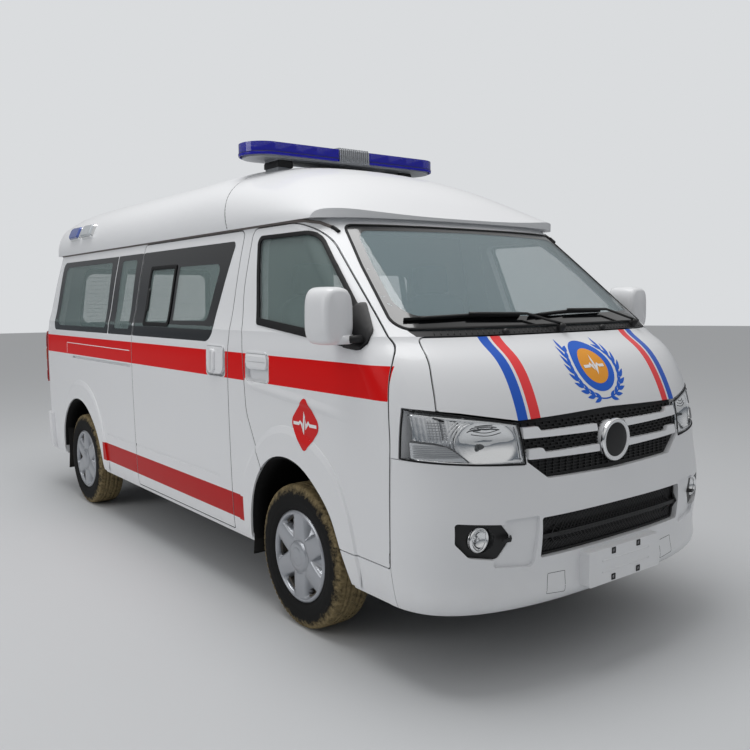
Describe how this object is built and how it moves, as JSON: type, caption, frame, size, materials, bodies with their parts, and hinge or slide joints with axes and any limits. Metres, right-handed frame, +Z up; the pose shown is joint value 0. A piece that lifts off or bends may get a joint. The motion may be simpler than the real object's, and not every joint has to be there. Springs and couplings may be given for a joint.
{
  "type": "ambulance",
  "caption": "High-roof ambulance van with hinged front doors, bonnet and tailgate, steered front wheels, free-turning wheels and a roof light bar.",
  "frame": {"origin": "on the ground under the middle of the overall length and width", "axes": "+Z up, +Y aft, so the vehicle faces -Y; +X towards the vehicle's left side"},
  "size_m": [2.18, 5.319, 2.4459],
  "materials": {
    "white_paint": "gloss white paint",
    "glazing": "grey-green tinted glass",
    "black_plastic": "fine grained black",
    "silver_trim": "satin silver paint",
    "lamp_lens": "clear polycarbonate",
    "tail_lens": "red polycarbonate",
    "blue_lens": "deep blue polycarbonate",
    "lightbar_shell": "grey moulded plastic",
    "rubber": "black rubber",
    "tyre": "black with dried mud",
    "wheel_silver": "satin silver",
    "interior_plastic": "grained grey",
    "seat_fabric": "woven grey",
    "chassis_steel": "black chassis paint",
    "engine_iron": "cast",
    "exhaust_steel": "dull steel"
  },
  "bodies": {
    "body": {"body_shell": "white_paint", "floor_pan": "chassis_steel", "roof_front_cap": "white_paint", "roof_rear": "white_paint", "front_bumper": "white_paint", "rear_bumper": "white_paint", "grilles": "black_plastic", "grille_bars": "silver_trim", "cowl": "black_plastic", "windscreen": "glazing", "side_glass": "glazing", "sliding_door": "white_paint", "headlamps": "lamp_lens", "fog_lamps": "black_plastic", "tail_lamps": "tail_lens", "side_strobes": "blue_lens", "lightbar_base": "lightbar_shell", "lightbar_lens": "blue_lens", "wipers": "black_plastic", "mud_flaps": "rubber", "dashboard": "interior_plastic", "front_seats": "seat_fabric", "partition": "interior_plastic", "cabin_bench": "interior_plastic", "chassis_frame": "chassis_steel", "suspension_arms": "chassis_steel", "rear_axle": "chassis_steel", "engine": "engine_iron", "exhaust": "exhaust_steel", "fuel_tank": "chassis_steel"},
    "bonnet": {"bonnet": "white_paint"},
    "tailgate": {"tailgate": "white_paint", "tailgate_glass": "glazing"},
    "steering_wheel": {"steering_wheel": "interior_plastic"},
    "left_door": {"left_front_door": "white_paint", "left_front_door_glass": "glazing", "left_mirror": "white_paint"},
    "left_knuckle": {"left_knuckle": "chassis_steel"},
    "left_front_wheel": {"left_front_wheel_rim": "wheel_silver", "left_front_wheel_tyre": "tyre"},
    "left_rear_wheel": {"left_rear_wheel_rim": "wheel_silver", "left_rear_wheel_tyre": "tyre"},
    "right_door": {"right_front_door": "white_paint", "right_front_door_glass": "glazing", "right_mirror": "white_paint"},
    "right_knuckle": {"right_knuckle": "chassis_steel"},
    "right_front_wheel": {"right_front_wheel_rim": "wheel_silver", "right_front_wheel_tyre": "tyre"},
    "right_rear_wheel": {"right_rear_wheel_rim": "wheel_silver", "right_rear_wheel_tyre": "tyre"}
  },
  "joints": [
    {"name": "left_front_door_hinge", "type": "hinge", "parent": "body", "child": "left_door", "pos_m": [0.948, -2.31, 0.9], "axis": [0, 0, -1], "range_deg": [0, 68]},
    {"name": "right_front_door_hinge", "type": "hinge", "parent": "body", "child": "right_door", "pos_m": [-0.948, -2.31, 0.9], "axis": [0, 0, 1], "range_deg": [0, 68]},
    {"name": "tailgate_hinge", "type": "hinge", "parent": "body", "child": "tailgate", "pos_m": [0, 2.505, 1.921], "axis": [1, 0, 0], "range_deg": [0, 85]},
    {"name": "bonnet_hinge", "type": "hinge", "parent": "body", "child": "bonnet", "pos_m": [0, -2.335, 1.425], "axis": [-1, 0, 0], "range_deg": [0, 50]},
    {"name": "left_steer", "type": "hinge", "parent": "body", "child": "left_knuckle", "pos_m": [0.72, -1.48, 0.346], "axis": [0, 0, 1], "range_deg": [-35, 35]},
    {"name": "right_steer", "type": "hinge", "parent": "body", "child": "right_knuckle", "pos_m": [-0.72, -1.48, 0.346], "axis": [0, 0, 1], "range_deg": [-35, 35]},
    {"name": "steering_wheel_turn", "type": "hinge", "parent": "body", "child": "steering_wheel", "pos_m": [0.38, -1.78, 1.29], "axis": [0, 0.5736, 0.8192], "range_deg": [-525, 525]},
    {"name": "left_front_wheel_spin", "type": "hinge", "parent": "left_knuckle", "child": "left_front_wheel", "pos_m": [0.8175, -1.48, 0.346], "axis": [1, 0, 0], "continuous": true},
    {"name": "left_rear_wheel_spin", "type": "hinge", "parent": "body", "child": "left_rear_wheel", "pos_m": [0.8175, 1.63, 0.346], "axis": [1, 0, 0], "continuous": true},
    {"name": "right_front_wheel_spin", "type": "hinge", "parent": "right_knuckle", "child": "right_front_wheel", "pos_m": [-0.8175, -1.48, 0.346], "axis": [1, 0, 0], "continuous": true},
    {"name": "right_rear_wheel_spin", "type": "hinge", "parent": "body", "child": "right_rear_wheel", "pos_m": [-0.8175, 1.63, 0.346], "axis": [1, 0, 0], "continuous": true}
  ],
  "couplings": [
    {"joint": "right_steer", "follows": "left_steer", "ratio": 1},
    {"joint": "steering_wheel_turn", "follows": "left_steer", "ratio": 15}
  ]
}
